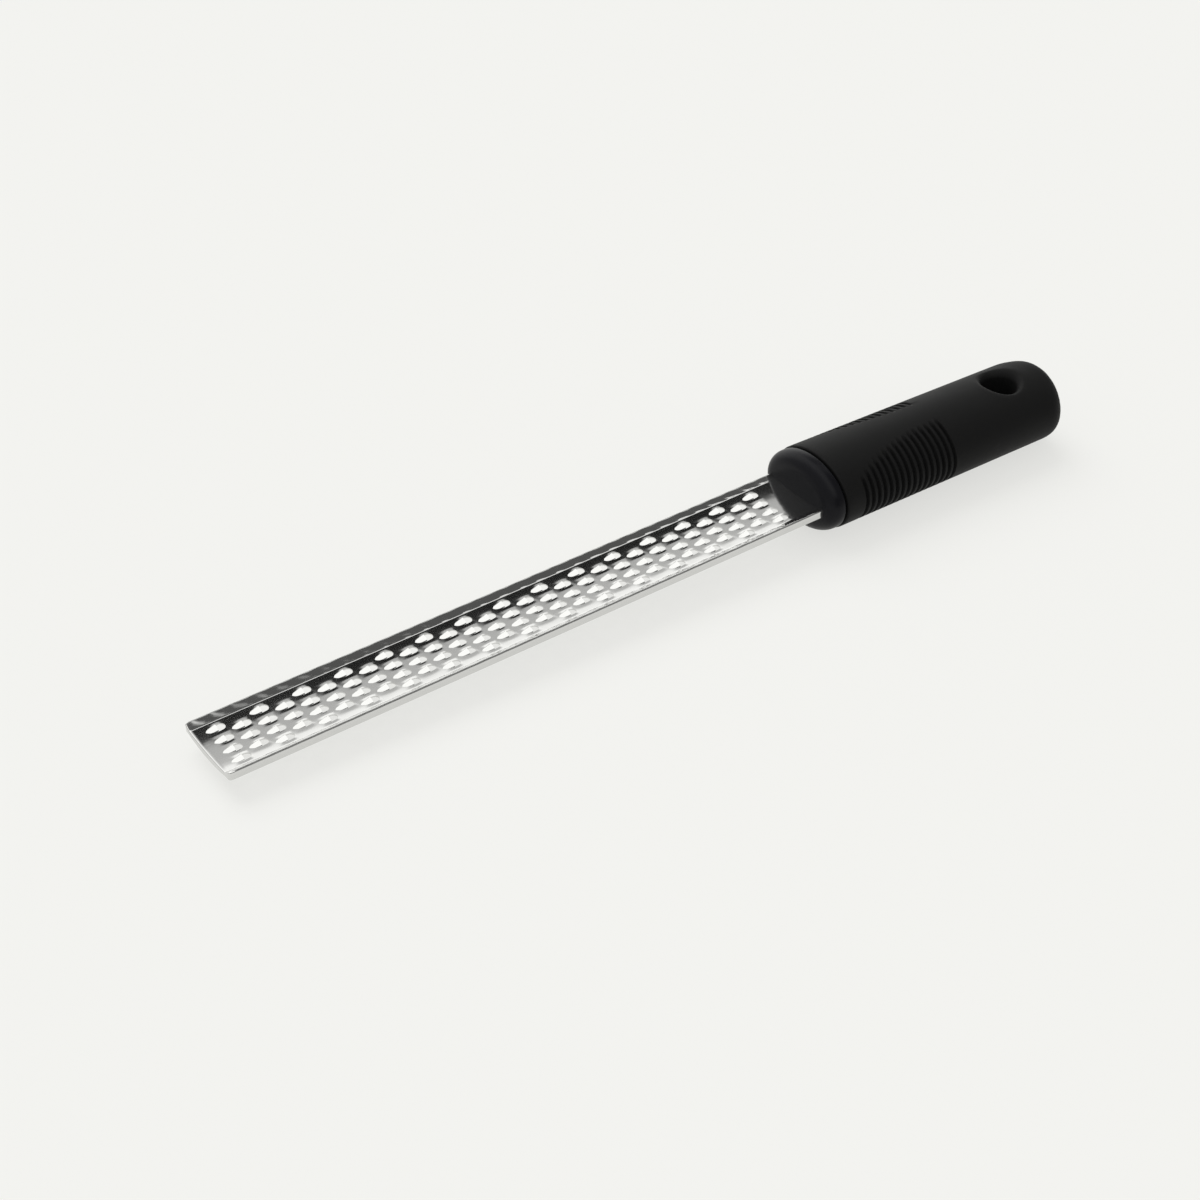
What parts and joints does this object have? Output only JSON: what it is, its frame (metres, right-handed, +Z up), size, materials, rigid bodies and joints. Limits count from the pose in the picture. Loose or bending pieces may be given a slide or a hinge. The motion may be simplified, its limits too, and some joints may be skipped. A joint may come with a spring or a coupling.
{
  "type": "rasp zester",
  "caption": "Handheld rasp zester: a long, narrow toothed steel blade held in a dark handle with a ribbed soft grip and a hang hole.",
  "frame": {"origin": "below the middle of the tool's length and width, at the level of its lowest point", "axes": "+X along the tool towards the rear of the handle, +Y across the blade, +Z up, out of the blade's toothed face"},
  "size_m": [0.3082, 0.0334, 0.0265],
  "materials": {
    "stainless_steel": "satin, finely brushed",
    "core_plastic": "semi-gloss moulded plastic",
    "grip_rubber": "matt soft-touch elastomer"
  },
  "bodies": {
    "root": {"blade": "stainless_steel", "handle_core": "core_plastic", "grip_sleeve": "grip_rubber"}
  },
  "joints": []
}
